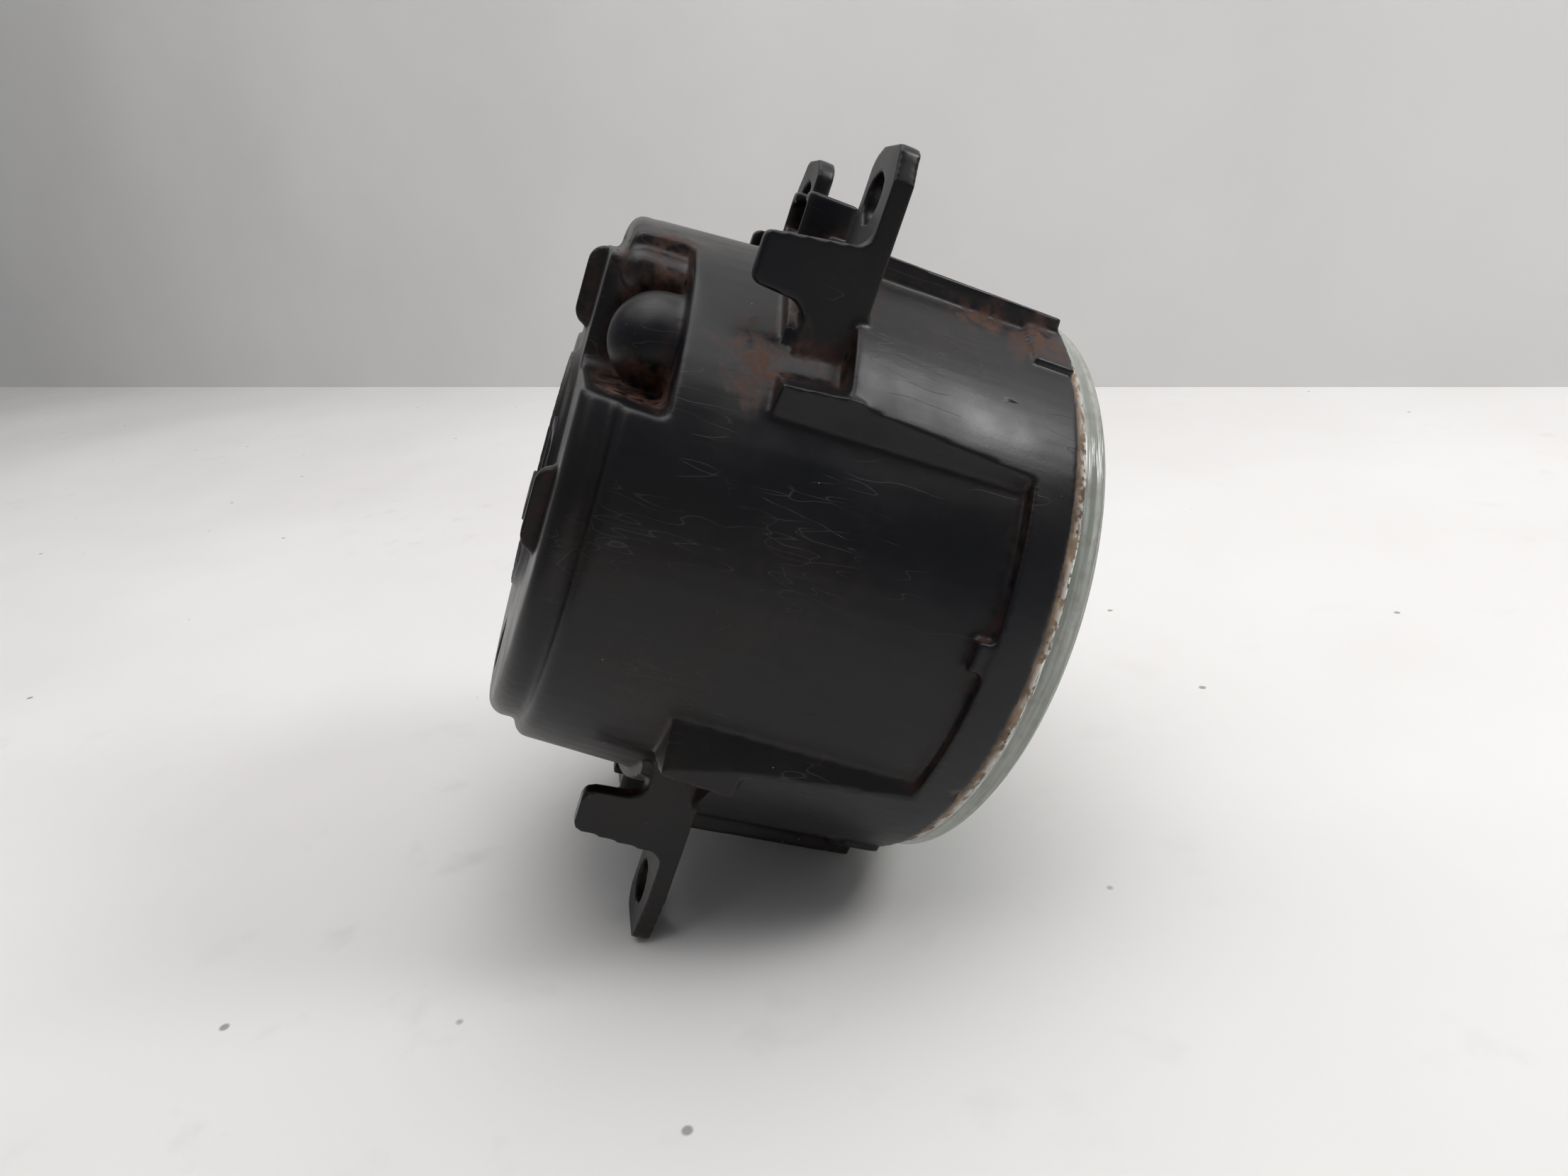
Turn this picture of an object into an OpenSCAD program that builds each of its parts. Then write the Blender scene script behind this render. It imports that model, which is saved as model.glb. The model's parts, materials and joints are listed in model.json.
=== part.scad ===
// Round front fog light for a car bumper: a moulded housing with four screw ears,
// a glued glass lens, a tilting reflector with its height adjuster, and a twist-in bulb.
// The optical axis is Y and the lens faces -Y. The origin is in the ears' front faces,
// at the centre of the rectangle of their four screw holes.

/* [Rim and lens] */
// Outer diameter of the housing's rim, mm
rim_d = 93; // [92.6:0.1:93.4]
// Diameter of the lens glass, mm
glass_d = 90.4; // [90.2:0.1:90.6]
// Radius of the glass dome, mm
dome_r = 78; // [76:0.5:80]
// Thickness of the glass, mm
glass_t = 3.5; // [3:0.1:4]
// Distance from the ears' front faces to the rim's front edge, mm
rim_reach = 31.3; // [31:0.1:31.6]

/* [Body] */
// Length of the full-width band behind the rim's front edge, mm
band_len = 6.2; // [6:0.1:6.8]
// Radius of the body just behind the rim band, mm
body_front_r = 44.5; // [44.3:0.1:44.8]
// Radius of the body at its rear face, mm
body_back_r = 40.3; // [40.2:0.1:40.8]
// Distance from the ears' front faces to the body's rear face, mm
body_back = 27.6; // [27.4:0.1:27.8]
// Height of the raised rear plateau above the body's rear face, mm
plateau_h = 4.6; // [4.4:0.1:4.8]
// Radius of the raised rear plateau, mm
plateau_r = 37.9; // [37.6:0.1:38]
// Thickness of the moulded walls, mm
wall = 2.2; // [2:0.1:2.4]

/* [Ears and brackets] */
// Distance between the two ear holes of one bracket, mm
hole_span_x = 43.6; // [43.2:0.2:44]
// Distance between the upper and the lower ear holes, mm
hole_span_z = 105.8; // [105.4:0.2:106.2]
// Height of the upper ear holes above the optical axis, mm
hole_up = 51.2; // [51:0.1:51.4]
// Diameter of the ear holes, mm
hole_d = 6.5; // [6:0.1:7]
// Thickness of the ears, mm
ear_t = 2.8; // [2.6:0.1:3]
// Height of the upper ears' tips above the optical axis, mm
ear_tip = 58.1; // [57.9:0.1:58.3]
// Depth of the lower ears' tips below the optical axis, mm
low_ear_tip = 61.6; // [61.4:0.1:61.8]
// Half the width over the outer faces of the side plates, mm
plate_x = 29.2; // [29:0.1:29.4]

/* [Bulb well] */
// Outer radius of the collar around the bulb, mm
collar_r = 18.2; // [18.1:0.1:18.4]
// Inner radius of the bulb well, mm
well_r = 16.9; // [16.7:0.1:17]
// Height of the collar above the plateau, mm
collar_h = 0.8; // [0.6:0.1:1]

/* [Reflector and adjuster] */
// Focal length of the reflector, mm
focal = 13; // [12.8:0.1:13.4]
// Height of the tilt axis above the optical axis, mm
pivot_z = 25.2; // [25:0.1:25.4]
// Distance of each pivot ball from the middle, mm
pivot_x = 20; // [19.8:0.1:20.2]
// Depth of the adjuster screw below the optical axis, mm
adjuster_z = 30; // [29.8:0.1:30.2]
// Play between sliding and turning parts, on the radius, mm
play = 0.1; // [0.05:0.01:0.1]

/* [Hidden] */
$fn = 96;
eps = 0.01;
far = 70;

axis_z = hole_span_z / 2 - hole_up;

rim_r = rim_d / 2;
rim_y = -rim_reach;
band_y = rim_y + band_len;
plateau_y = body_back + plateau_h;
collar_y = plateau_y + collar_h;

glass_r = glass_d / 2;
glass_in_r = glass_r - 3;
glass_back = rim_y - 0.4;
dome_y = rim_y - 5.5 + sqrt(dome_r * dome_r - 44.5 * 44.5);
channel_y = rim_y + 2.4;

platform_z = 45.6;
plate_t = 2.5;
tab_y = 15.9;
low_tab_y = 16.8;
pad_y = 1.3;
block_y = 9.6;

recess_x = 12.5;
recess_z = 18.5;
recess_y = 21.7;
bump_r = 6.8;
step_y = 30;
step_z = 34.5;

seat_y = 12.5;
seat_t = 2;
seat_r = 12.6;
lug_turn = 40;

mirror_y = 3.5;
neck_r = 12.2;
mirror_r = 38.2;
stud_r = 1.75;
ball_r = 3.5;
ball_y = 20.5;
leg_end = 11.5;

screw_r = 2.5;
journal_r = 4;
nut_y = 10;
pin_r = 1.5;

vent_x = 27;
vent_z = -12;

black = [0.07, 0.07, 0.09];

// Points of an arc about (a, b) from one angle to another
function arc(a, b, r, from, to, n = 10) =
    [for (i = [0:n]) let (t = from + (to - from) * i / n) [a + r * cos(t), b + r * sin(t)]];

// Depth of the reflector's bright face at a distance from the optical axis
function bright(r) = mirror_y - r * r / (4 * focal);

// Lifts a piece from the optical axis to its place above the origin
module on_axis() {
    translate([0, 0, axis_z])
        children();
}

// A solid turned about the optical axis from points of radius and depth
module turned(points) {
    rotate([-90, 0, 0])
        rotate_extrude($fn = 144)
            polygon(points);
}

// A round bar along Y
module rod(r, y0, y1, x = 0, z = 0) {
    translate([x, y0, z])
        rotate([-90, 0, 0])
            cylinder(r = r, h = y1 - y0);
}

// A flat shape in X and Z, extended along Y
module along_y(y0, y1) {
    translate([0, y1, 0])
        rotate([90, 0, 0])
            linear_extrude(y1 - y0)
                children();
}

// A flat shape in Y and Z, extended along X
module along_x(x0, x1) {
    translate([x0, 0, 0])
        rotate([90, 0, 90])
            linear_extrude(x1 - x0)
                children();
}

// A box between two corners
module block(from, to) {
    translate(from)
        cube(to - from);
}

// A rectangle with two rounded corners at its far X end
module tongue(x0, x1, z0, z1, r) {
    polygon(concat(
        [[x0, z0]], arc(x1 - r, z0 + r, r, -90, 0), arc(x1 - r, z1 - r, r, 0, 90), [[x0, z1]]
    ));
}

// Part of a ring between two radii, to an angle on each side of X
module sector(inner, outer, half) {
    intersection() {
        circle(outer);
        polygon([
            inner * [cos(half), sin(half)], inner * [cos(half), -sin(half)],
            far * [cos(half), -sin(half)], far * [cos(half), sin(half)]
        ]);
    }
}

module both_sides() {
    for (side = [0, 1])
        mirror([side, 0, 0])
            children();
}

module top_and_bottom() {
    for (side = [0, 1])
        mirror([0, 0, side])
            children();
}

// A ring of round section about the optical axis, moved sideways
module ring(r, section, y, x = 0, z = 0) {
    translate([x, y, z])
        rotate([-90, 0, 0])
            rotate_extrude($fn = 96)
                translate([r, 0])
                    circle(section, $fn = 24);
}

// ---- Housing ----

module body_outside() {
    edge = 1.9;
    fillet = 0.9;
    plateau_edge = 2.6;
    turned(concat(
        [[0, rim_y], [rim_r, rim_y], [rim_r, band_y], [body_front_r, band_y]],
        arc(body_back_r - edge, body_back - edge, edge, 0, 90),
        arc(plateau_r + fillet, body_back + fillet, fillet, 270, 180),
        arc(plateau_r - plateau_edge, plateau_y - plateau_edge, plateau_edge, 0, 90),
        [[0, plateau_y]]
    ));
}

// Pocket at the rear for a pivot, open to the side, the top and the rear
module rear_recess(grow = 0) {
    r = 3 - grow;
    x0 = recess_x - grow;
    z0 = recess_z - grow;
    along_y(recess_y - grow, far)
        polygon(concat([[far, z0]], arc(x0 + r, z0 + r, r, 270, 180), [[x0, far], [far, far]]));
}

// Step at the top between the two pockets, a little lower than the plateau
module top_step() {
    edge = 2;
    intersection() {
        turned(concat(
            [[step_z, 20], [body_back_r, 20]],
            arc(body_back_r - 0.2 - edge, step_y - edge, edge, 0, 90),
            [[step_z, step_y]]
        ));
        block([-recess_x - eps, 0, 20], [recess_x + eps, far, far]);
    }
}

// Space over that step, where the plateau ends in a flat
module over_step() {
    block([-recess_x - eps, step_y, step_z], [recess_x + eps, far, far]);
}

module body_hollow() {
    corner = 1.5;
    difference() {
        turned(concat(
            [[0, rim_y - 1], [41.3, rim_y - 1], [41.3, band_y - 2]],
            [[body_front_r - wall - 0.2, band_y]],
            arc(body_back_r - wall - corner, body_back - wall - corner, corner, 0, 90),
            [[plateau_r - wall, body_back - wall], [plateau_r - wall, plateau_y - wall]],
            [[0, plateau_y - wall]]
        ));
        both_sides() rear_recess(wall);
        rod(collar_r + 0.5, seat_y, far);
        both_sides() rod(bump_r, 15, far, pivot_x, pivot_z);
        rod(6.5, 19.9, far, 0, -adjuster_z);
        block([-recess_x - wall, step_y - wall, step_z - wall], [recess_x + wall, far, far]);
    }
}

// Space outside a bracket's side facet, a plane that leans in and rises to the rear
module beside_facet(anchor) {
    slope = 2.22;
    translate([anchor[0], pad_y, anchor[1]])
        rotate([4, 0, 2.8])
            along_y(-40, 20)
                polygon([[-12, -12 * slope], [12, 12 * slope], [60, 12 * slope], [60, -12 * slope]]);
}

// Pad of full rim radius over the body
module front_pad(anchor) {
    difference() {
        along_y(rim_y + 0.2, pad_y)
            intersection() {
                circle(rim_r, $fn = 144);
                translate([-far, 14]) square([2 * far, platform_z - 14]);
            }
        both_sides() beside_facet(anchor);
    }
}

// Flat platform between the ears and the rim
module platform() {
    rear_half = 19.4;
    front_half = 18.7;
    translate([0, 0, 36])
        linear_extrude(platform_z - 36)
            polygon([[-rear_half, 0], [rear_half, 0], [front_half, rim_y + 1], [-front_half, rim_y + 1]]);
}

// Thin plate raised on the rim band beside the platform
module rim_plate() {
    along_y(rim_y + 0.1, band_y)
        intersection() {
            circle(rim_r + 0.8, $fn = 144);
            polygon([[15, 36], [22.4, 33], [27.8, 41.6], [15, 50]]);
        }
}

// Pad behind the ears that carries the side plates, with its sloping shelf
module rear_block(anchor) {
    difference() {
        hull() {
            along_y(-1, -0.9) polygon([[20, 16], [40, 16], [40, 27.6], [20, 24]]);
            along_y(block_y - 0.1, block_y) polygon([[20, 16], [40, 16], [40, 26.3], [20, 28.7]]);
        }
        beside_facet(anchor);
    }
    along_y(-1, block_y)
        intersection() {
            circle(43.3, $fn = 144);
            polygon([[-1, 22], [plate_x - 1, 22], [plate_x - 1, 50], [-1, 50]]);
        }
}

// Outline of one ear, seen from the front
module ear_outline(hole_z, tip) {
    inner = 16;
    difference() {
        polygon(concat(
            [[0, 30], [plate_x, 24], [plate_x, 53.5]],
            arc(plate_x - 3.4, tip - 2.2, 2.2, 15, 90),
            arc(inner + 4.2, tip - 4.2, 4.2, 90, 170),
            [[inner, 50], [inner, platform_z + 1]],
            arc(inner - 1, platform_z + 1, 1, 0, -90),
            [[0, platform_z]]
        ));
        translate([hole_span_x / 2, hole_z])
            circle(d = hole_d);
    }
}

// Side plate with its rearward tab, filleted into the ear; a reach of 0 leaves the tab out
module side_plate(tab) {
    leg_y = 8.2;
    along_x(plate_x - plate_t, plate_x)
        polygon(concat(
            [[0, 24], [0, 47], [ear_t, 47]],
            arc(ear_t + 2.2, 47, 2.2, 180, 270),
            tab > 0 ? concat(
                arc(tab - 1.1, 42.2, 1.1, 80, 0),
                arc(tab - 1.5, 38, 1.5, 0, -80),
                arc(leg_y + 2.4, 33.8, 2.4, 95, 180)
            ) : arc(leg_y - 1.5, 43.3, 1.5, 90, 0),
            [[leg_y, 24]]
        ));
}

// Open-topped channel in the middle of a bracket, with lips and small ribs
module channel_box() {
    half = 6.3;
    rear = 7.5;
    top = 51;
    difference() {
        block([-half, 0, 38], [half, rear, top]);
        block([-4.9, ear_t, 43.4], [4.9, far, 49.3]);
        block([-3.3, ear_t, 49], [3.3, far, far]);
    }
    for (x = [-3.9:1.95:3.9])
        block([x - 0.35, rear - 4.5, 43.4 - eps], [x + 0.35, rear, 45.2]);
}

// One bracket: a point on its side facet, the ear holes' height, the ears' tips
// and the reach of the tab at each side
module bracket(anchor, hole_z, tip, left_tab, right_tab) {
    front_pad(anchor);
    platform();
    channel_box();
    both_sides() {
        rim_plate();
        rear_block(anchor);
        along_y(0, ear_t) ear_outline(hole_z, tip);
    }
    mirror([1, 0, 0]) side_plate(left_tab);
    side_plate(right_tab);
}

// Small stop block behind the rim band, at each side
module band_stop() {
    block([43, band_y - eps, 0], [rim_r - 0.3, band_y + 2.2, 4.3]);
}

// Domed cover over a pivot socket, and the smaller bulge beside it
module pivot_bumps() {
    dome_end = 23.5;
    rod(bump_r, 15, dome_end, pivot_x, pivot_z);
    translate([pivot_x, dome_end, pivot_z])
        sphere(bump_r);
    rod(3.2, 20, 27.5, recess_x, 33);
    translate([recess_x, 27.5, 33])
        sphere(3.2);
}

module well() {
    fillet = 1.4;
    turned(concat(
        [[seat_r, seat_y], [collar_r + 0.5, seat_y], [collar_r + 0.5, plateau_y - 1]],
        [[collar_r + fillet + 0.4, plateau_y - 1]],
        arc(collar_r + fillet, plateau_y + fillet, fillet, 270, 180),
        [[collar_r, collar_y], [well_r, collar_y], [well_r, seat_y + seat_t], [seat_r, seat_y + seat_t]]
    ));
}

// Guard tabs that stand on the plateau around the collar
module guard_tabs() {
    reach = plateau_y + 2.3;
    length = 12;
    for (at = [[-28, 1.2], [-1, 28.5]])
        along_x(at[0], at[0] + 2)
            tongue(plateau_y - 1, reach, at[1] - length / 2, at[1] + length / 2, 2.5);
}

module bayonet_notches() {
    for (i = [0:2])
        rotate([0, 120 * i + lug_turn, 0])
            along_y(seat_y - 1, seat_y + seat_t + 1) sector(11, 14.8, 15);
}

module housing() {
    on_axis() color(black)
        difference() {
            union() {
                difference() {
                    union() {
                        body_outside();
                        bracket([37.8, 27], hole_up, ear_tip, tab_y, 0);
                        mirror([0, 0, 1])
                            bracket([39.3, 22.2], hole_span_z - hole_up, low_ear_tip, low_tab_y, low_tab_y);
                        both_sides() band_stop();
                        top_step();
                    }
                    body_hollow();
                    both_sides() rear_recess();
                    over_step();
                    turned([[42, -far], [45.4, -far], [45.4, channel_y], [42, channel_y]]);
                    top_and_bottom() block([-far, rim_y - 1, 45.9], [far, -1, far]);
                    rod(well_r, seat_y, far);
                }
                both_sides() pivot_bumps();
                well();
                guard_tabs();
            }
            both_sides() rod(5, 10, 25, pivot_x, pivot_z);
            rod(journal_r + play, 22, far, 0, -adjuster_z);
            rod(screw_r + play, 15, 23, 0, -adjuster_z);
            rod(3, 25, far, vent_x, vent_z);
            bayonet_notches();
        }
}

// ---- Lens ----

module lens_glass() {
    on_axis() color([0.75, 0.85, 0.8, 0.5])
        difference() {
            intersection() {
                translate([0, dome_y, 0])
                    sphere(dome_r, $fn = 144);
                rod(glass_r, -far, glass_back);
            }
            intersection() {
                translate([0, dome_y, 0])
                    sphere(dome_r - glass_t, $fn = 144);
                rod(glass_in_r, -far, 0);
            }
        }
}

module lens_sealant() {
    on_axis() color("tan")
        turned([
            [42, channel_y], [45.4, channel_y], [45.4, rim_y], [rim_r - 0.5, rim_y],
            [rim_r - 0.6, rim_y - 1.5], [glass_r, rim_y - 2.3], [glass_r, glass_back],
            [glass_in_r, glass_back], [42, rim_y]
        ]);
}

// ---- Reflector ----

module reflector_front() {
    turned(concat(
        [[0, -far], [mirror_r, -far]],
        [for (i = [24:-1:0]) let (r = mirror_r * i / 24) [r, bright(r)]]
    ));
}

module reflector_back() {
    rim = mirror_r + 1;
    turned(concat(
        [[0, -20], [rim, bright(mirror_r)], [rim, bright(mirror_r) + 1.5]],
        [for (i = [24:-1:8]) let (r = mirror_r * i / 24) [r, bright(r) + 2]],
        [[0, bright(mirror_r / 3) + 2]]
    ));
}

// Fork that straddles the adjuster nut
module fork() {
    end = nut_y + 3.5;
    difference() {
        both_sides()
            block([4.8, -24, -adjuster_z - 5.5], [7.2, end, -adjuster_z + 5.5]);
        along_x(-9, 9)
            for (dz = [-0.6, 0.6])
                translate([nut_y, dz - adjuster_z])
                    circle(pin_r + play);
        block([-9, nut_y - pin_r - play, -adjuster_z - 0.6], [9, nut_y + pin_r + play, 0.6 - adjuster_z]);
    }
}

module reflector() {
    on_axis() color("silver")
        difference() {
            union() {
                reflector_back();
                both_sides() rod(4, -24, leg_end, pivot_x, pivot_z);
                fork();
            }
            reflector_front();
            rod(neck_r, -far, far);
            both_sides() rod(stud_r, 4.5, far, pivot_x, pivot_z);
        }
}

// ---- Pivots ----

module pivot_stud() {
    rod(stud_r, 4.5, ball_y, pivot_x, pivot_z);
    rod(3, leg_end, leg_end + 1, pivot_x, pivot_z);
    translate([pivot_x, ball_y, pivot_z])
        sphere(ball_r);
}

module pivot_socket() {
    difference() {
        rod(5, 15.5, 25, pivot_x, pivot_z);
        translate([pivot_x, ball_y, pivot_z])
            sphere(ball_r + play / 2);
        rod(2.9, 15, ball_y, pivot_x, pivot_z);
        for (turn = [0, 90])
            translate([pivot_x, 0, pivot_z])
                rotate([0, turn, 0])
                    block([-6, 15, -0.4], [6, ball_y, 0.4]);
    }
}

module pivot_stud_left() {
    on_axis() color("gainsboro") mirror([1, 0, 0]) pivot_stud();
}

module pivot_stud_right() {
    on_axis() color("gainsboro") pivot_stud();
}

module pivot_socket_left() {
    on_axis() color("ivory") mirror([1, 0, 0]) pivot_socket();
}

module pivot_socket_right() {
    on_axis() color("ivory") pivot_socket();
}

// ---- Adjuster ----

module adjuster_screw() {
    on_axis() color("gold")
        translate([0, 0, -adjuster_z])
            difference() {
                union() {
                    rod(journal_r, 22 + play, plateau_y - 0.8);
                    rod(screw_r, 3, 23);
                    rod(screw_r - 0.6, 2, 3);
                }
                turned([[3.1, 25], [5, 25], [5, 26.6], [3.1, 26.6]]);
                rod(2.3, plateau_y - 4.8, far, $fn = 6);
            }
}

module adjuster_clip() {
    on_axis() color("silver")
        translate([0, 0, -adjuster_z])
            difference() {
                rod(5.6, 19, 19.8);
                rod(screw_r, 18, 21);
                for (i = [0:3])
                    rotate([0, 90 * i + 45, 0])
                        block([2, 18, -0.4], [4, 21, 0.4]);
            }
}

module adjuster_seal() {
    on_axis() color("dimgray") ring(3.58, 0.48, 25.8, 0, -adjuster_z);
}

module adjuster_nut() {
    on_axis() color("ivory")
        translate([0, nut_y, -adjuster_z])
            difference() {
                union() {
                    block([-4.5, -3.5, -4], [4.5, 3.5, 4]);
                    rotate([0, 90, 0])
                        cylinder(r = pin_r, h = 15, center = true);
                }
                rod(screw_r + play, -5, 5);
            }
}

// ---- Vent ----

module vent_plug() {
    on_axis() color("dimgray")
        translate([vent_x, plateau_y, vent_z])
            difference() {
                union() {
                    rod(4.6, 0, 1.2);
                    rod(3, -3.2, 0.5);
                    rod(3.4, -4.2, -2.6);
                }
                rod(1.5, -5, 2);
                rod(2.6, 0.8, 2);
            }
}

module vent_membrane() {
    on_axis() color("white") rod(2.6, plateau_y + 0.8, plateau_y + 1.1, vent_x, vent_z);
}

// ---- Bulb ----

module bulb_blades() {
    both_sides()
        block([2.4, 19, -0.4], [5.2, 30, 0.4]);
}

// Rectangle with rounded corners
module shroud_outline(half_x, half_z, r) {
    x = half_x - r;
    z = half_z - r;
    polygon(concat(
        arc(x, z, r, 0, 90, 6), arc(-x, z, r, 90, 180, 6),
        arc(-x, -z, r, 180, 270, 6), arc(x, -z, r, 270, 360, 6)
    ));
}

module bulb_base() {
    seat = seat_y + seat_t + play;
    mouth = plateau_y + 0.8;
    on_axis() color([0.22, 0.22, 0.24])
        difference() {
            union() {
                rod(15.4, seat, seat + 2.8);
                rod(seat_r - 0.2, seat_y - 2.5, seat + 1);
                rod(9.6, seat, 20.6);
                along_y(20, mouth) shroud_outline(9, 7, 2);
                for (i = [0:2])
                    rotate([0, 120 * i, 0])
                        along_y(seat_y - 2.3, seat_y - 0.2) sector(10, 14.4, 13);
                for (i = [0:17])
                    rotate([0, 20 * i + 10, 0])
                        block([15.1, seat + 0.6, -0.6], [15.8, seat + 2.4, 0.6]);
            }
            along_y(22.5, far) shroud_outline(7.5, 5.5, 1.2);
            turned([[13.3, seat - 1], [14.9, seat - 1], [14.9, seat + 1.5], [13.3, seat + 1.5]]);
            rod(7.5, -far, seat_y - 0.5);
            bulb_blades();
        }
}

module bulb_seal() {
    on_axis() color("darkorange") ring(14.1, 0.75, seat_y + seat_t + play + 0.75);
}

module bulb_contacts() {
    on_axis() color("goldenrod") bulb_blades();
}

module bulb_ferrule() {
    on_axis() color("silver")
        turned([[6.3, -1], [7.5, -1], [7.5, 9.2], [10, 9.2], [10, 10], [7.5, 10], [7.5, 12], [6.3, 12]]);
}

module bulb_glass() {
    outer = 5.6;
    inner = 4.7;
    tip = -14;
    on_axis() color([0.85, 0.9, 0.95, 0.5])
        difference() {
            union() {
                rod(outer, tip, 1);
                translate([0, tip, 0])
                    sphere(outer);
                block([-4.8, 0, -2], [4.8, 11, 2]);
                rod(6.3, 0, 3);
            }
            rod(inner, tip, -0.5);
            translate([0, tip, 0])
                sphere(inner);
        }
}

module bulb_filament() {
    centre = mirror_y - focal;
    on_axis() color("dimgray") {
        rod(0.4, centre - 2.5, centre + 2.5);
        for (i = [0:8])
            ring(0.55, 0.18, centre - 2 + i / 2);
    }
}

module bulb_leads() {
    centre = mirror_y - focal;
    on_axis() color("gray") {
        rod(0.35, centre + 2.85, -0.5, 0, -2.4);
        block([-0.3, centre + 2.5, -2.6], [0.3, centre + 3.1, 0.3]);
        rod(0.35, centre - 2.85, -0.5, 0, 2.4);
        block([-0.3, centre - 3.1, -0.3], [0.3, centre - 2.5, 2.6]);
    }
}

housing();
lens_glass();
lens_sealant();
reflector();
pivot_stud_left();
pivot_stud_right();
pivot_socket_left();
pivot_socket_right();
adjuster_screw();
adjuster_clip();
adjuster_seal();
adjuster_nut();
vent_plug();
vent_membrane();
bulb_base();
bulb_seal();
bulb_contacts();
bulb_ferrule();
bulb_glass();
bulb_filament();
bulb_leads();
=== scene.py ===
import json
import math

import bmesh
import bpy
from mathutils import Matrix, Vector, noise

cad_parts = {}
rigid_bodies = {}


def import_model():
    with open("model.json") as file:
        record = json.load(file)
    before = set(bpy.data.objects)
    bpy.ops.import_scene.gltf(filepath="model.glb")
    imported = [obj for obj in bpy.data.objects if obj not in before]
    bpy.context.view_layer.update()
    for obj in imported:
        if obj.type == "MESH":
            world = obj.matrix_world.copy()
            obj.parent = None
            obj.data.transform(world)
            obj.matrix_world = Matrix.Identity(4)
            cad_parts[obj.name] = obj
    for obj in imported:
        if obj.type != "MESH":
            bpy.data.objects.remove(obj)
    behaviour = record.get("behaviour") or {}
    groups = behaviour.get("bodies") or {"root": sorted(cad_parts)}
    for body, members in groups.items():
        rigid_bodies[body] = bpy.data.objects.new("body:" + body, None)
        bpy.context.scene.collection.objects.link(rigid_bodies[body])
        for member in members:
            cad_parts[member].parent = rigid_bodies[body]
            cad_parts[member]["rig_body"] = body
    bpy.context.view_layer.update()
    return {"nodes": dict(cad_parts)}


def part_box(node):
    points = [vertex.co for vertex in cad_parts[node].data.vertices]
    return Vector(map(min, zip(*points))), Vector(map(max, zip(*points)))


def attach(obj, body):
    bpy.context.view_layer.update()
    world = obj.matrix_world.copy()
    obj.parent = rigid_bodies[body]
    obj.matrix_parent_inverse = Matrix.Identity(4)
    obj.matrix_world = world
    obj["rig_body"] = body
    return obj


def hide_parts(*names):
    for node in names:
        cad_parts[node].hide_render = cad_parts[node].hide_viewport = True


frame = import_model()
nodes = frame["nodes"]
scene = bpy.context.scene
MM = 0.001

# ---- Places, from the frame ----

glass_low, glass_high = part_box("lens_glass")
house_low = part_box("housing")[0]
axis_z = (glass_low.z + glass_high.z) / 2
glass_r = (glass_high.x - glass_low.x) / 2
rim_y = house_low.y
rim_r = glass_r + 1.3 * MM
pivot = sum(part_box("pivot_socket_left"), Vector()) / 2


def from_axis(point):
    return math.hypot(point.x, point.z - axis_z)


edge_y = min(v.co.y for v in nodes["lens_glass"].data.vertices
             if from_axis(v.co) > glass_r - 0.2 * MM)


# ---- Mesh tools ----

def add(name, data):
    piece = bpy.data.objects.new(name, data)
    scene.collection.objects.link(piece)
    return piece


def add_mesh(name, mesh):
    """A new object from a bmesh, which is used up."""
    data = bpy.data.meshes.new(name)
    mesh.to_mesh(data)
    mesh.free()
    return add(name, data)


def clean_copy(node, name):
    """A new object with the CAD node's shape and shared corners joined."""
    mesh = bmesh.new()
    mesh.from_mesh(nodes[node].data)
    bmesh.ops.remove_doubles(mesh, verts=mesh.verts, dist=2e-6)
    return add_mesh(name, mesh)


def apply(piece, kind, **settings):
    modifier = piece.modifiers.new(kind, kind)
    for key, value in settings.items():
        setattr(modifier, key, value)
    bpy.context.view_layer.objects.active = piece
    bpy.ops.object.modifier_apply(modifier=modifier.name)


def shade_smooth(piece):
    for face in piece.data.polygons:
        face.use_smooth = True


def soften_moulding(piece, voxel, passes, ratio=1):
    """Rounds every edge of a moulding, as a mould and years of use do."""
    apply(piece, "REMESH", mode="VOXEL", voxel_size=voxel, adaptivity=0)
    apply(piece, "SMOOTH", factor=0.5, iterations=passes)
    if ratio < 1:
        apply(piece, "DECIMATE", ratio=ratio)
    shade_smooth(piece)


def soften_edges(piece, width):
    """Gives a small machined or moulded piece narrow rounded edges."""
    mesh = bmesh.new()
    mesh.from_mesh(piece.data)
    flat = math.radians(0.5)
    bmesh.ops.dissolve_limit(mesh, angle_limit=flat, verts=mesh.verts, edges=mesh.edges)
    mesh.to_mesh(piece.data)
    mesh.free()
    sharp = math.radians(35)
    apply(piece, "BEVEL", width=width, segments=2, limit_method="ANGLE", angle_limit=sharp)
    shade_smooth(piece)
    apply(piece, "WEIGHTED_NORMAL", keep_sharp=True)


def displace(piece, shift):
    """Moves each point along its normal by shift(point)."""
    moves = [v.normal * shift(v.co) for v in piece.data.vertices]
    for vertex, move in zip(piece.data.vertices, moves):
        vertex.co += move
    piece.data.update()


def lathe(name, profile, segments=192):
    """A closed profile of (radius, y) points, turned about the optical axis."""
    mesh = bmesh.new()
    turns = [2 * math.pi * i / segments for i in range(segments)]
    rings = []
    for r, y in profile:
        if r == 0:
            rings.append([mesh.verts.new((0, y, axis_z))])
            continue
        ring = [(r * math.cos(t), y, axis_z + r * math.sin(t)) for t in turns]
        rings.append([mesh.verts.new(point) for point in ring])
    for a, b in zip(rings, rings[1:] + rings[:1]):
        for i in range(segments):
            j = (i + 1) % segments
            corners = [a[i % len(a)], a[j % len(a)], b[j % len(b)], b[i % len(b)]]
            corners = list(dict.fromkeys(corners))
            if len(corners) > 2:
                mesh.faces.new(corners)
    bmesh.ops.recalc_face_normals(mesh, faces=mesh.faces)
    piece = add_mesh(name, mesh)
    shade_smooth(piece)
    return piece


# ---- Finishes ----

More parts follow.
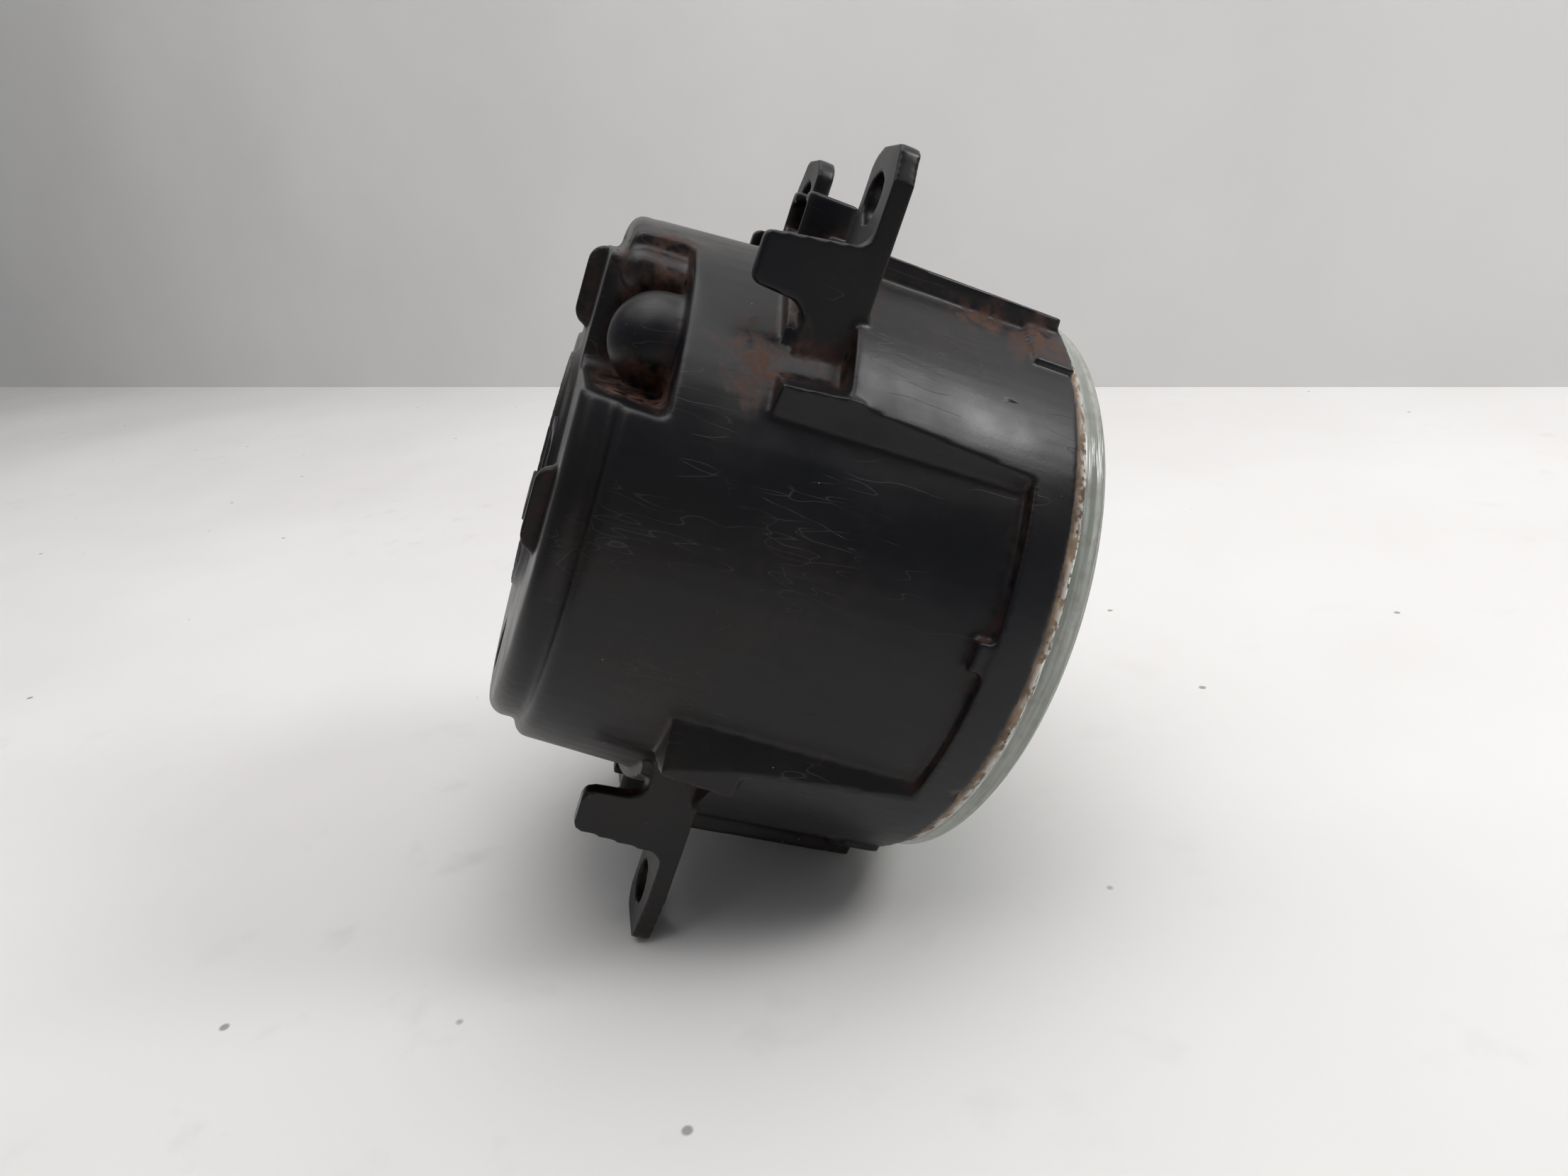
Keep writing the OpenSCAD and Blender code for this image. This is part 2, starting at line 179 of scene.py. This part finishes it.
class Finish:
    """A node material about one Principled shader, with object coordinates in metres."""

    def __init__(self, name, **sockets):
        self.material = bpy.data.materials.new(name)
        self.material.use_nodes = True
        self.tree = self.material.node_tree
        self.shader = self.tree.nodes["Principled BSDF"]
        for socket, value in sockets.items():
            self.shader.inputs[socket.replace("_", " ")].default_value = value
        self.place = self.node("TexCoord").outputs["Object"]

    def node(self, kind, inputs=(), **settings):
        made = self.tree.nodes.new("ShaderNode" + kind)
        for key, value in settings.items():
            setattr(made, key, value)
        for socket, value in dict(inputs).items():
            self.put(value, made.inputs[socket])
        return made

    def put(self, value, socket):
        if isinstance(value, bpy.types.NodeSocket):
            self.tree.links.new(value, socket)
        elif hasattr(socket.default_value, "__len__") and len(socket.default_value) == 4:
            socket.default_value = (*value, 1) if len(value) == 3 else value
        else:
            socket.default_value = value

    def set(self, socket, value):
        self.put(value, self.shader.inputs[socket])

    def stretched(self, turn, scale):
        values = {"Vector": self.place, "Rotation": turn, "Scale": scale}
        return self.node("Mapping", values).outputs[0]

    def noise(self, size_mm, detail, place=None, distortion=0.0):
        """Cloudy noise with features of about that size."""
        values = {"Vector": place or self.place, "Scale": 1 / (size_mm * MM), "Detail": detail,
                  "Distortion": distortion}
        return self.node("TexNoise", values).outputs["Fac"]

    def ramp(self, value, low, high, to_low=0.0, to_high=1.0):
        values = {"Value": value, "From Min": low, "From Max": high,
                  "To Min": to_low, "To Max": to_high}
        return self.node("MapRange", values).outputs["Result"]

    def patches(self, size_mm, detail, low, high):
        """Noise made into patches: 0 below low and 1 above high."""
        return self.ramp(self.noise(size_mm, detail), low, high)

    def uneven(self, size_mm, detail, low, high):
        """Noise that wanders between two values, such as roughnesses."""
        return self.ramp(self.noise(size_mm, detail), 0.3, 0.7, low, high)

    def math(self, operation, a, b=0.0):
        return self.node("Math", {0: a, 1: b}, operation=operation).outputs[0]

    def times(self, a, b):
        return self.math("MULTIPLY", a, b)

    def most(self, a, b):
        return self.math("MAXIMUM", a, b)

    def mix(self, factor, a, b):
        made = self.node("Mix", {"Factor": factor}, data_type="RGBA")
        self.put(a, made.inputs[6])
        self.put(b, made.inputs[7])
        return made.outputs[2]

    def blend(self, factor, a, b):
        return self.node("Mix", {0: factor, 2: a, 3: b}).outputs[0]

    def hollows(self, distance_mm, inside=False):
        """1 deep in a crevice, or with inside on a sharp edge, and 0 on open ground."""
        values = {"Distance": distance_mm * MM}
        made = self.node("AmbientOcclusion", values, samples=6, inside=inside)
        return self.math("SUBTRACT", 1.0, made.outputs["AO"])

    def lines(self, size_mm, width, turn, where):
        """Fine scratches along one direction, in the places given."""
        place = self.stretched(turn, (1, 0.16, 1))
        off_middle = self.math("SUBTRACT", self.noise(size_mm, 1, place, 0.15), 0.5)
        line = self.ramp(self.math("ABSOLUTE", off_middle), 0.0, width, 1.0, 0.0)
        return self.times(line, where)

    def specks(self, size_mm, share, width=0.12):
        """Round specks in a share of the cells of that size."""
        made = self.node("TexVoronoi", {"Vector": self.place, "Scale": 1 / (size_mm * MM)})
        lot = self.node("SeparateColor", {"Color": made.outputs["Color"]}).outputs[0]
        picked = self.math("GREATER_THAN", lot, 1 - share)
        spot = self.ramp(made.outputs["Distance"], width * 0.6, width, 1.0, 0.0)
        return self.times(picked, spot)

    def near(self, point, radius_mm, edge_mm=4):
        """1 within a radius of a point, fading to 0 over its ragged edge."""
        away = self.node("VectorMath", {0: self.place, 1: point}, operation="DISTANCE")
        ragged = self.math("ADD", away.outputs["Value"], self.uneven(5, 4, -3 * MM, 3 * MM))
        return self.ramp(ragged, radius_mm * MM, (radius_mm + edge_mm) * MM, 1.0, 0.0)

    def bump(self, *layers):
        """Relief from layers of (height, depth in mm)."""
        normal = None
        for height, distance_mm in layers:
            values = {"Height": height, "Distance": distance_mm * MM, "Strength": 1.0}
            made = self.node("Bump", values)
            if normal:
                self.put(normal, made.inputs["Normal"])
            normal = made.outputs[0]
        self.set("Normal", normal)


def black_moulding(name, dusty_spots):
    """Black plastic with scratches, worn edges, white specks and rusty dust in its hollows."""
    made = Finish(name, Specular_IOR_Level=0.32)
    some = made.patches(21, 3, 0.53, 0.6)
    others = made.patches(15, 3, 0.55, 0.62)
    scratch = made.most(made.lines(2.6, 0.006, (0.3, 0.2, 0.5), some),
                        made.lines(3.3, 0.005, (1.2, 0.4, -0.6), others))
    scratch = made.most(scratch, made.lines(2.1, 0.006, (0.1, 1.3, 1.5), others))
    crevice = made.ramp(made.hollows(5), 0.2, 0.55)
    grain = made.patches(1.6, 5, 0.34, 0.62)
    for point, radius in dusty_spots:
        crevice = made.most(crevice, made.near(point, radius))
    dust = made.times(made.times(crevice, grain), 0.8)
    veil = made.times(made.patches(17, 4, 0.5, 0.75), made.patches(2.4, 4, 0.4, 0.7))
    dust = made.most(dust, made.times(veil, 0.08))
    edges = made.ramp(made.hollows(0.7, True), 0.3, 0.75)
    worn = made.times(edges, made.patches(3, 4, 0.35, 0.7))
    bluish, brownish = (0.0032, 0.0034, 0.0056), (0.0082, 0.0064, 0.0055)
    base = made.mix(made.patches(38, 3, 0.35, 0.68), bluish, brownish)
    base = made.mix(made.times(scratch, 0.35), base, (0.07, 0.07, 0.075))
    base = made.mix(made.times(worn, 0.4), base, (0.06, 0.058, 0.062))
    rust = made.mix(made.noise(0.9, 3), (0.066, 0.026, 0.0145), (0.13, 0.062, 0.038))
    base = made.mix(dust, base, rust)
    base = made.mix(made.specks(0.9, 0.012, 0.1), base, (0.42, 0.41, 0.38))
    made.set("Base Color", base)
    rough = made.math("ADD", made.uneven(11, 5, 0.27, 0.42), made.times(scratch, 0.2))
    made.set("Roughness", made.blend(dust, rough, 0.92))
    made.bump((made.noise(24, 2), 0.16), (made.noise(0.45, 2), 0.006),
              (made.times(scratch, -1.0), 0.012), (made.times(dust, grain), 0.05))
    return made.material


def clear_glass(name, tint, low=0.015, high=0.09):
    """Clear tinted glass with a faint film and fine scratches."""
    made = Finish(name, Transmission_Weight=1.0, IOR=1.5)
    haze = made.patches(14, 4, 0.5, 0.75)
    film = made.times(haze, made.patches(1.2, 4, 0.35, 0.75))
    made.set("Base Color", made.mix(film, tint, tuple(0.93 * c for c in tint)))
    scratch = made.lines(6, 0.004, (0.4, 0.9, 0.1), haze)
    made.set("Roughness", made.ramp(made.most(film, scratch), 0, 1, low, high))
    made.bump((made.noise(30, 1), 0.05), (scratch, 0.01))
    return made.material


def glass_skirt(name):
    """The lens's ground edge: paler, and streaked round its circumference."""
    made = Finish(name, Transmission_Weight=0.62, IOR=1.5)
    bands = made.noise(1.0, 3, made.stretched((0, 0, 0), (0.05, 1, 0.05)), 0.3)
    streaks = made.ramp(bands, 0.36, 0.64)
    grime = made.times(made.patches(2.2, 4, 0.5, 0.66), 0.5)
    base = made.mix(streaks, (0.55, 0.6, 0.53), (0.88, 0.9, 0.84))
    made.set("Base Color", made.mix(grime, base, (0.5, 0.47, 0.4)))
    made.set("Roughness", made.ramp(streaks, 0, 1, 0.06, 0.24))
    made.bump((streaks, 0.08), (made.noise(8, 2), 0.06))
    return made.material


def old_sealant(name):
    """Tan sealant, with white flakes towards the glass and dark crumbs."""
    made = Finish(name, Specular_IOR_Level=0.3)
    lumps = made.noise(3.5, 4)
    base = made.mix(made.ramp(lumps, 0.35, 0.65), (0.105, 0.068, 0.042), (0.27, 0.2, 0.14))
    depth = made.node("SeparateXYZ", {"Vector": made.place}).outputs["Y"]
    forward = made.ramp(depth, rim_y - 0.5 * MM, rim_y - 1.6 * MM)
    flakes = made.times(made.patches(1.5, 5, 0.44, 0.54), forward)
    base = made.mix(flakes, base, (0.62, 0.6, 0.55))
    made.set("Base Color", made.mix(made.specks(1.1, 0.2, 0.3), base, (0.09, 0.06, 0.04)))
    made.set("Roughness", made.ramp(lumps, 0.3, 0.7, 0.55, 0.8))
    made.bump((lumps, 0.25), (flakes, 0.12), (made.noise(0.5, 3), 0.05))
    return made.material


def metal(name, light, dark, low, high, stain=None, spread=6):
    """Bare or plated metal between two colours and two roughnesses, stained in its hollows."""
    made = Finish(name, Metallic=1.0)
    base = made.mix(made.patches(spread, 4, 0.35, 0.68), light, dark)
    if stain:
        hollow = made.ramp(made.hollows(2), 0.1, 0.5)
        base = made.mix(made.times(made.patches(1.4, 5, 0.52, 0.66), hollow), base, stain)
    made.set("Base Color", base)
    made.set("Roughness", made.uneven(2.5, 4, low, high))
    scratch = made.lines(2.5, 0.008, (0.5, 0.2, 0.9), made.patches(7, 2, 0.45, 0.6))
    made.bump((made.noise(0.6, 3), 0.012), (scratch, 0.006))
    return made.material


def soft_plastic(name, light, dark, low, high, grain_mm=0.03, **sockets):
    """Plastic or rubber between two colours and two roughnesses, grimy in its hollows."""
    made = Finish(name, **sockets)
    hollow = made.ramp(made.hollows(1.6), 0.2, 0.6)
    grime = made.times(hollow, made.patches(1.1, 4, 0.35, 0.65))
    base = made.mix(made.patches(5, 4, 0.35, 0.68), light, dark)
    base = made.mix(made.times(grime, 0.7), base, (0.07, 0.042, 0.025))
    base = made.mix(made.specks(1.5, 0.06), base, tuple(0.5 * a + 0.2 for a in light))
    made.set("Base Color", base)
    made.set("Roughness", made.blend(grime, made.uneven(3, 4, low, high), 0.9))
    made.bump((made.noise(0.35, 2), grain_mm), (made.noise(4, 2), 0.05))
    return made.material


def beside_axis(x, y, z):
    """A place given in millimetres, with its height measured from the optical axis."""
    return Vector((x * MM, y * MM, axis_z + z * MM))


rim_mm = rim_y / MM
dusty = (
    (pivot + Vector((-5, 3, -7)) * MM, 3.5),
    (pivot + Vector((8, 5, 8)) * MM, 3),
    (beside_axis(-31.5, 12, 30), 3),
    (beside_axis(-22, rim_mm + 5, 41.5), 2.5),
    (beside_axis(-21, -18, 42), 1.5),
)
finishes = {
    "housing": black_moulding("black_moulding", dusty),
    "lens_glass": clear_glass("lens_glass", (0.87, 0.95, 0.9)),
    "lens_sealant": old_sealant("sealant"),
    "reflector": metal(
        "bright_reflector", (0.93, 0.93, 0.92), (0.84, 0.84, 0.83), 0.05, 0.14,
        (0.5, 0.46, 0.4), 14),
    "studs": metal(
        "zinc_steel", (0.62, 0.63, 0.64), (0.45, 0.46, 0.48), 0.25, 0.45,
        (0.2, 0.12, 0.07)),
    "natural_nylon": soft_plastic(
        "natural_nylon", (0.72, 0.68, 0.57), (0.6, 0.55, 0.43), 0.35, 0.55,
        Subsurface_Weight=0.15, Subsurface_Scale=0.002),
    "adjuster_screw": metal(
        "yellow_zinc_steel", (0.62, 0.5, 0.24), (0.5, 0.46, 0.3), 0.25, 0.5,
        (0.2, 0.11, 0.06), 3),
    "adjuster_clip": metal(
        "spring_steel", (0.5, 0.5, 0.5), (0.33, 0.33, 0.34), 0.25, 0.45,
        (0.18, 0.1, 0.05)),
    "seal_rubber": soft_plastic(
        "seal_rubber", (0.02, 0.02, 0.021), (0.034, 0.031, 0.029), 0.6, 0.85, 0.04),
    "vent_membrane": soft_plastic(
        "vent_film", (0.72, 0.72, 0.7), (0.58, 0.56, 0.5), 0.6, 0.85, 0.05),
    "bulb_base": soft_plastic(
        "bulb_plastic", (0.022, 0.022, 0.026), (0.036, 0.033, 0.032), 0.35, 0.55, 0.02),
    "bulb_seal": soft_plastic(
        "orange_silicone", (0.62, 0.17, 0.035), (0.5, 0.12, 0.03), 0.35, 0.55, 0.02),
    "bulb_contacts": metal(
        "contact_metal", (0.72, 0.68, 0.55), (0.55, 0.47, 0.3), 0.2, 0.4,
        (0.2, 0.13, 0.07), 2),
    "bulb_ferrule": metal(
        "bulb_metal", (0.7, 0.7, 0.71), (0.56, 0.56, 0.57), 0.22, 0.4,
        (0.3, 0.2, 0.12), 4),
    "bulb_glass": clear_glass("bulb_quartz", (0.96, 0.98, 1.0), 0.005, 0.04),
    "bulb_filament": metal(
        "tungsten", (0.34, 0.34, 0.36), (0.22, 0.22, 0.24), 0.3, 0.5, spread=1),
    "bulb_leads": metal(
        "lead_metal", (0.55, 0.54, 0.52), (0.4, 0.39, 0.38), 0.25, 0.45, spread=1.5),
}
shared = {
    "studs": ("pivot_stud_left", "pivot_stud_right"),
    "natural_nylon": ("pivot_socket_left", "pivot_socket_right", "adjuster_nut"),
    "seal_rubber": ("adjuster_seal", "vent_plug"),
}
for finish, names in shared.items():
    for name in names:
        finishes[name] = finishes[finish]
for name, piece in nodes.items():
    piece.data.materials.clear()
    piece.data.materials.append(finishes[name])


def stand_in(piece, node):
    """Lets a detailed piece take the place, the body and the finish of a CAD node."""
    piece.data.materials.clear()
    piece.data.materials.append(finishes[node])
    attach(piece, nodes[node]["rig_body"])
    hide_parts(node)


# ---- Housing ----

shell = clean_copy("housing", "housing_shell")
soften_moulding(shell, 0.4 * MM, 4, 0.4)
nick_turn = 0.42
nick = Vector((-rim_r * math.cos(nick_turn), rim_y + 0.3 * MM,
               axis_z - rim_r * math.sin(nick_turn)))


def shell_wear(point):
    """Faint waviness, and a nick in the rim's edge."""
    wave = 0.04 * MM * noise.noise(point * 60) + 0.012 * MM * noise.noise(point * 420)
    wave -= 0.45 * MM * math.exp(-((point - nick).length / (0.9 * MM)) ** 2)
    return wave - 0.03 * MM


lip_start = pivot.y - 3.8 * MM
lip_foot = 13 * MM
lip_fade = 2.5 * MM
soft = shell.vertex_groups.new(name="recess_lip")
for vertex in shell.data.vertices:
    point = vertex.co
    behind = point.y - lip_start
    above = point.z - axis_z - lip_foot
    if behind > 0 and above > 0 and abs(point.x) > 9 * MM and from_axis(point) > 27 * MM:
        weight = min(1, behind / lip_fade) * min(1, above / lip_fade)
        soft.add([vertex.index], weight, "REPLACE")
apply(shell, "SMOOTH", factor=0.5, iterations=14, vertex_group="recess_lip")
displace(shell, shell_wear)
stand_in(shell, "housing")

# ---- Lens ----

dome_h = edge_y - glass_low.y
dome_r = (glass_r ** 2 + dome_h ** 2) / (2 * dome_h)
dome_y = glass_low.y + dome_r
glass_t = 3.5 * MM
inner_r = glass_r - 3 * MM
shoulder_r = glass_r * 0.978
lip = 0.7 * MM


def dome(radius, to_r, steps):
    """Points of a dome's profile, from its middle out to to_r."""
    reach = [to_r * i / steps for i in range(steps + 1)]
    return [(r, dome_y - math.sqrt(radius ** 2 - r ** 2)) for r in reach]


outer = dome(dome_r, shoulder_r, 40)
step_y = outer[-1][1]
outer += [(glass_r * 0.981, step_y + 0.32 * MM), (glass_r * 0.984, step_y + 0.36 * MM)]
lip_y = step_y + 0.5 * MM + lip
outer += [(glass_r - lip + lip * math.sin(a), lip_y - lip * math.cos(a))
          for a in (0.3, 0.7, 1.1, 1.5)]
skirt_y = outer[-1][1]
skirt_length = glass_high.y - 0.3 * MM - skirt_y
for i in range(1, 13):
    ripple = 0.07 * MM * math.sin(9.5 * i / 12) ** 2
    outer.append((glass_r - 0.05 * MM - ripple, skirt_y + skirt_length * i / 12))
outer.append((glass_r - 0.35 * MM, glass_high.y))
back = [(inner_r + 0.4 * MM, glass_high.y), (inner_r, glass_high.y - 0.4 * MM)]
inside = dome(dome_r - glass_t, inner_r, 30)[::-1]
lens = lathe("lens", outer + back + inside)
stand_in(lens, "lens_glass")
lens.data.materials.append(glass_skirt("lens_skirt"))
for face in lens.data.polygons:
    outside_dome = from_axis(face.center) > glass_r * 0.979
    on_back = face.center.y > glass_high.y - 1e-5
    face.material_index = 1 if outside_dome or on_back else 0


# ---- Sealant bead ----

def bead_lumps(point):
    """Lumps of two sizes, on a bead drawn in a little."""
    return 0.22 * MM * noise.noise(point * 320) + 0.12 * MM * noise.noise(point * 900) - 0.1 * MM


bead = clean_copy("lens_sealant", "sealant_bead")
soften_moulding(bead, 0.45 * MM, 3)
displace(bead, bead_lumps)
stand_in(bead, "lens_sealant")

# ---- Smaller pieces with worked edges ----

for node, name, slot, width in (
    ("bulb_base", "bulb_socket", "bulb_plastic", 0.25),
    ("adjuster_screw", "adjuster_bolt", "yellow_zinc_steel", 0.2),
    ("adjuster_clip", "adjuster_washer", "spring_steel", 0.12),
    ("adjuster_nut", "adjuster_block", "natural_nylon", 0.3),
    ("vent_plug", "vent_cap", "seal_rubber", 0.2),
    ("reflector", "reflector_shell", "bright_reflector", 0.15),
    ("bulb_ferrule", "bulb_collar", "bulb_metal", 0.12),
    ("pivot_socket_left", "ball_seat_left", "natural_nylon", 0.15),
    ("pivot_socket_right", "ball_seat_right", "natural_nylon", 0.15),
):
    piece = clean_copy(node, name)
    soften_edges(piece, width * MM)
    stand_in(piece, node)

# ---- Camera ----

right = Vector((-0.18770, -0.92893, 0.31915))
up = Vector((0.34127, 0.24301, 0.90801))
back_way = Vector((-0.92103, 0.27935, 0.27140))
eye = Vector((-0.15836, 0.03800, 0.03953))
camera = add("camera", bpy.data.cameras.new("camera"))
camera.data.lens = 23.51
camera.data.sensor_width = 36
camera.data.clip_start = 0.005
turn = Matrix((right, up, back_way)).transposed()
camera.matrix_world = Matrix.Translation(eye) @ turn.to_4x4()
scene.camera = camera

# ---- Stage: the lamp stands on its lower ears and the edge of its glass ----

ears_to_glass = (axis_z - glass_r) - house_low.z
floor_up = Vector((0, ears_to_glass, -edge_y)).normalized()
level = min(v.co.dot(floor_up) for piece in nodes.values() for v in piece.data.vertices)


def plane(name, origin, side, ahead, half):
    mesh = bmesh.new()
    corners = [(-half, -half), (half, -half), (half, half), (-half, half)]
    mesh.faces.new([mesh.verts.new(origin + side * a + ahead * b) for a, b in corners])
    piece = add_mesh(name, mesh)
    return piece


def board(name, light, dark, marks):
    """Pale painted board, which can't be seen from behind."""
    made = Finish(name, Specular_IOR_Level=0.25)
    base = made.mix(made.patches(160, 4, 0.35, 0.68), light, dark)
    base = made.mix(made.times(made.specks(9, 0.1, 0.1), marks), base, (0.35, 0.33, 0.32))
    smudge = made.times(made.patches(12, 5, 0.6, 0.75), made.patches(120, 2, 0.5, 0.65))
    base = made.mix(made.times(smudge, 0.3 * marks), base, (0.56, 0.54, 0.53))
    made.set("Base Color", base)
    made.set("Roughness", made.uneven(30, 4, 0.5, 0.68))
    made.bump((made.noise(3, 3), 0.02))
    clear = made.node("BsdfTransparent").outputs[0]
    facing = made.node("NewGeometry").outputs["Backfacing"]
    joined = made.node("MixShader", {0: facing, 1: made.shader.outputs[0], 2: clear})
    surface = made.tree.nodes["Material Output"].inputs["Surface"]
    made.tree.links.new(joined.outputs[0], surface)
    return made.material


board_half = 1.5
wall_foot_above_middle = math.radians(11.1)
sight = up * math.sin(wall_foot_above_middle) - back_way * math.cos(wall_foot_above_middle)
sight.normalize()
foot = eye + sight * ((level - eye.dot(floor_up)) / sight.dot(floor_up))
along = floor_up.cross(sight.cross(right)).normalized()
if along.dot(right) < 0:
    along = -along
to_eye = eye - foot
to_eye = to_eye - floor_up * to_eye.dot(floor_up) - along * to_eye.dot(along)
to_eye.normalize()
floor = plane("floor", foot + to_eye * board_half, along, -to_eye, board_half)
wall = plane("backdrop", foot + floor_up * board_half, along, floor_up, board_half)
floor.data.materials.append(board("pale_board", (0.84, 0.83, 0.82), (0.78, 0.765, 0.755), 1.0))
wall.data.materials.append(board("pale_wall", (0.78, 0.77, 0.76), (0.73, 0.72, 0.71), 0.0))


# ---- Light ----

def soft_light(name, place, size, power, colour=(1, 1, 1), aim=Vector()):
    """A square area light, aimed at the lamp unless aim says otherwise."""
    data = bpy.data.lights.new(name, "AREA")
    data.size = size
    data.energy = power
    data.color = colour
    light = add(name, data)
    facing = (aim - place).to_track_quat("-Z", "Y").to_matrix().to_4x4()
    light.matrix_world = Matrix.Translation(place) @ facing


soft_light("key", Vector((-0.19, -0.27, 0.68)), 0.2, 1.9)
soft_light("far_side", Vector((0.42, -0.24, 0.62)), 0.2, 2.2)
soft_light("overhead", floor_up * 0.95 + right * 0.12, 0.9, 4.3, (1, 0.985, 0.975))
soft_light("wall_wash", foot + floor_up * 0.75 + to_eye * 0.3, 0.8, 2.3, (1, 0.99, 0.98),
           aim=foot + floor_up * 0.15)
world = bpy.data.worlds.new("studio")
scene.world = world
world.use_nodes = True
background = world.node_tree.nodes["Background"]
background.inputs["Color"].default_value = (0.93, 0.96, 1, 1)
background.inputs["Strength"].default_value = 0.2
scene.view_settings.view_transform = "Standard"
